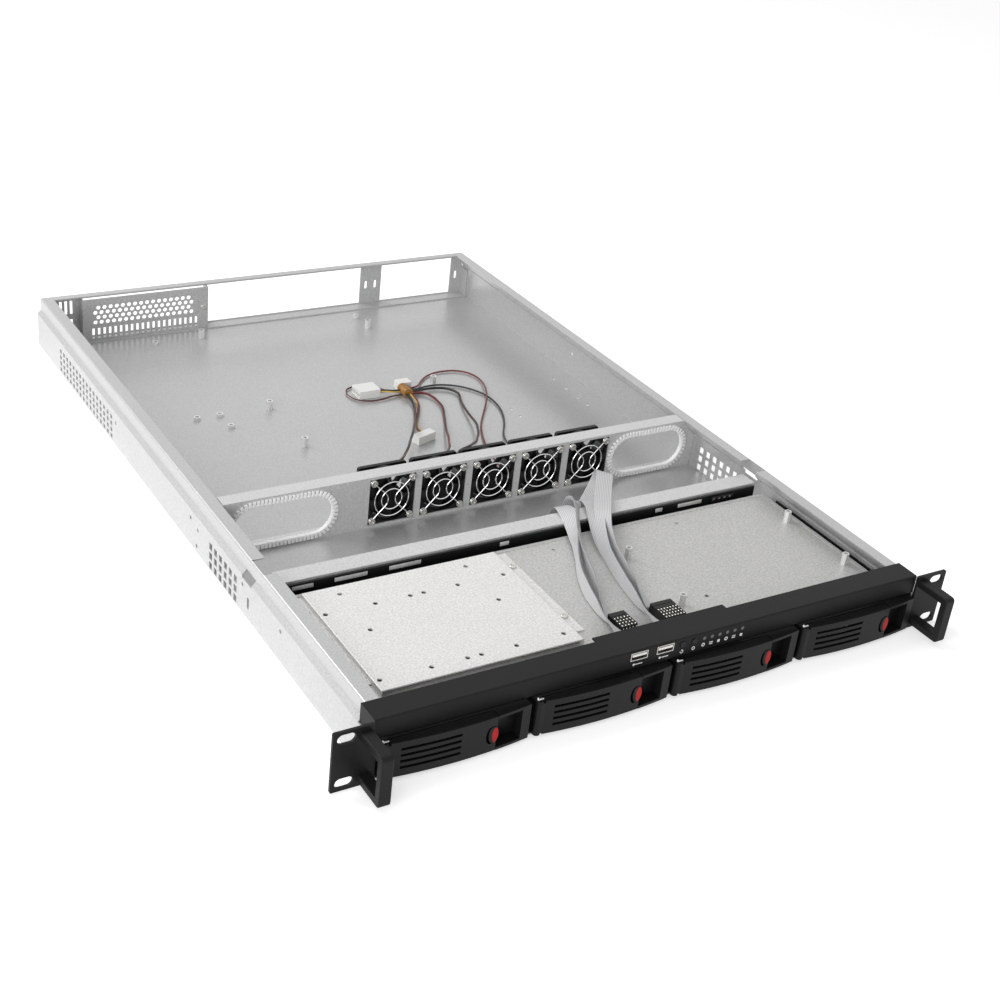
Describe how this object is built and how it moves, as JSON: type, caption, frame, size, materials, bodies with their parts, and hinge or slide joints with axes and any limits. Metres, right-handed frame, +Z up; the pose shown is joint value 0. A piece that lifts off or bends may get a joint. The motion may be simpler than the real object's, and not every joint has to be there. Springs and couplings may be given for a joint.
{
  "type": "rackmount server case",
  "caption": "Empty one-unit rackmount server case with its top cover off: hot-swap drive trays, fan wall, ribbon cables, rear panel and rack ears with handles.",
  "frame": {"origin": "on the underside, midway between the sides, in the plane of the rack ears' backs", "axes": "+X right seen from the front, +Y to the rear, +Z up"},
  "size_m": [0.4826, 0.6795, 0.0436],
  "materials": {
    "galvanised_steel": "satin, zinc coated sheet",
    "black_metal": "fine black powder coat",
    "grommet_plastic": "pale nylon",
    "fan_plastic": "black moulded plastic",
    "bright_wire": "plated wire",
    "circuit_board": "black solder mask",
    "socket_plastic": "black moulded plastic",
    "tray_plastic": "fine black moulded plastic",
    "latch_plastic": "red translucent plastic",
    "usb_metal": "plated sheet",
    "button_plastic": "black",
    "lamp_plastic": "clear light pipe",
    "plated_steel": "nickel plated",
    "tie_plastic": "amber",
    "plug_plastic": "white nylon",
    "ribbon_vinyl": "grey ribbon insulation",
    "wire_vinyl": "wire insulation"
  },
  "bodies": {
    "chassis": {"base_tray": "galvanised_steel", "rear_panel": "galvanised_steel", "riser_panel": "galvanised_steel", "fan_wall": "galvanised_steel", "backplane_bracket": "galvanised_steel", "bay_plate": "galvanised_steel", "bay_dividers": "galvanised_steel", "drive_plate": "galvanised_steel", "bezel": "black_metal", "rack_ear_left": "black_metal", "rack_ear_right": "black_metal", "handle_left": "black_metal", "handle_right": "black_metal", "cable_grommets": "grommet_plastic", "fan_frame_1": "fan_plastic", "fan_frame_2": "fan_plastic", "fan_frame_3": "fan_plastic", "fan_frame_4": "fan_plastic", "fan_frame_5": "fan_plastic", "fan_guards": "bright_wire", "backplane_board": "circuit_board", "control_board": "circuit_board", "backplane_sockets": "socket_plastic", "header_plug_a": "socket_plastic", "header_plug_b": "socket_plastic", "usb_sockets": "usb_metal", "indicator_lamps": "lamp_plastic", "standoffs": "plated_steel", "screws": "plated_steel", "harness_tie": "tie_plastic", "power_plugs": "plug_plastic", "ribbon_a": "ribbon_vinyl", "ribbon_b": "ribbon_vinyl", "fan_lead_1": "wire_vinyl", "fan_lead_2": "wire_vinyl", "fan_lead_3": "wire_vinyl", "fan_lead_4": "wire_vinyl", "fan_lead_5": "wire_vinyl", "power_lead": "wire_vinyl", "feed_lead": "wire_vinyl", "sensor_lead": "wire_vinyl"},
    "tray_1": {"drive_tray_1": "tray_plastic"},
    "lever_1": {"tray_lever_1": "tray_plastic"},
    "latch_1": {"tray_latch_1": "latch_plastic"},
    "tray_2": {"drive_tray_2": "tray_plastic"},
    "lever_2": {"tray_lever_2": "tray_plastic"},
    "latch_2": {"tray_latch_2": "latch_plastic"},
    "tray_3": {"drive_tray_3": "tray_plastic"},
    "lever_3": {"tray_lever_3": "tray_plastic"},
    "latch_3": {"tray_latch_3": "latch_plastic"},
    "tray_4": {"drive_tray_4": "tray_plastic"},
    "lever_4": {"tray_lever_4": "tray_plastic"},
    "latch_4": {"tray_latch_4": "latch_plastic"},
    "power_button": {"power_button": "button_plastic"},
    "reset_button": {"reset_button": "button_plastic"},
    "rotor_1": {"fan_rotor_1": "fan_plastic"},
    "rotor_2": {"fan_rotor_2": "fan_plastic"},
    "rotor_3": {"fan_rotor_3": "fan_plastic"},
    "rotor_4": {"fan_rotor_4": "fan_plastic"},
    "rotor_5": {"fan_rotor_5": "fan_plastic"}
  },
  "joints": [
    {"name": "tray_slide_1", "type": "slide", "parent": "chassis", "child": "tray_1", "axis": [0, -1, 0], "range_m": [0, 0.13]},
    {"name": "lever_hinge_1", "type": "hinge", "parent": "tray_1", "child": "lever_1", "pos_m": [-0.20825, -0.0037, 0.0158], "axis": [0, 0, -1], "range_deg": [0, 75]},
    {"name": "latch_slide_1", "type": "slide", "parent": "lever_1", "child": "latch_1", "axis": [-1, 0, 0], "range_m": [0, 0.0016], "stiffness_N_per_m": 300},
    {"name": "tray_slide_2", "type": "slide", "parent": "chassis", "child": "tray_2", "axis": [0, -1, 0], "range_m": [0, 0.13]},
    {"name": "lever_hinge_2", "type": "hinge", "parent": "tray_2", "child": "lever_2", "pos_m": [-0.10175, -0.0037, 0.0158], "axis": [0, 0, -1], "range_deg": [0, 75]},
    {"name": "latch_slide_2", "type": "slide", "parent": "lever_2", "child": "latch_2", "axis": [-1, 0, 0], "range_m": [0, 0.0016], "stiffness_N_per_m": 300},
    {"name": "tray_slide_3", "type": "slide", "parent": "chassis", "child": "tray_3", "axis": [0, -1, 0], "range_m": [0, 0.13]},
    {"name": "lever_hinge_3", "type": "hinge", "parent": "tray_3", "child": "lever_3", "pos_m": [0.00475, -0.0037, 0.0158], "axis": [0, 0, -1], "range_deg": [0, 75]},
    {"name": "latch_slide_3", "type": "slide", "parent": "lever_3", "child": "latch_3", "axis": [-1, 0, 0], "range_m": [0, 0.0016], "stiffness_N_per_m": 300},
    {"name": "tray_slide_4", "type": "slide", "parent": "chassis", "child": "tray_4", "axis": [0, -1, 0], "range_m": [0, 0.13]},
    {"name": "lever_hinge_4", "type": "hinge", "parent": "tray_4", "child": "lever_4", "pos_m": [0.11125, -0.0037, 0.0158], "axis": [0, 0, -1], "range_deg": [0, 75]},
    {"name": "latch_slide_4", "type": "slide", "parent": "lever_4", "child": "latch_4", "axis": [-1, 0, 0], "range_m": [0, 0.0016], "stiffness_N_per_m": 300},
    {"name": "power_button_press", "type": "slide", "parent": "chassis", "child": "power_button", "axis": [0, 1, 0], "range_m": [0, 0.0008], "stiffness_N_per_m": 400},
    {"name": "reset_button_press", "type": "slide", "parent": "chassis", "child": "reset_button", "axis": [0, 1, 0], "range_m": [0, 0.0008], "stiffness_N_per_m": 400},
    {"name": "rotor_spin_1", "type": "hinge", "parent": "chassis", "child": "rotor_1", "pos_m": [-0.067, 0.27, 0.0223], "axis": [0, 1, 0], "continuous": true},
    {"name": "rotor_spin_2", "type": "hinge", "parent": "chassis", "child": "rotor_2", "pos_m": [-0.02325, 0.27, 0.0223], "axis": [0, 1, 0], "continuous": true},
    {"name": "rotor_spin_3", "type": "hinge", "parent": "chassis", "child": "rotor_3", "pos_m": [0.0205, 0.27, 0.0223], "axis": [0, 1, 0], "continuous": true},
    {"name": "rotor_spin_4", "type": "hinge", "parent": "chassis", "child": "rotor_4", "pos_m": [0.06425, 0.27, 0.0223], "axis": [0, 1, 0], "continuous": true},
    {"name": "rotor_spin_5", "type": "hinge", "parent": "chassis", "child": "rotor_5", "pos_m": [0.108, 0.27, 0.0223], "axis": [0, 1, 0], "continuous": true}
  ]
}
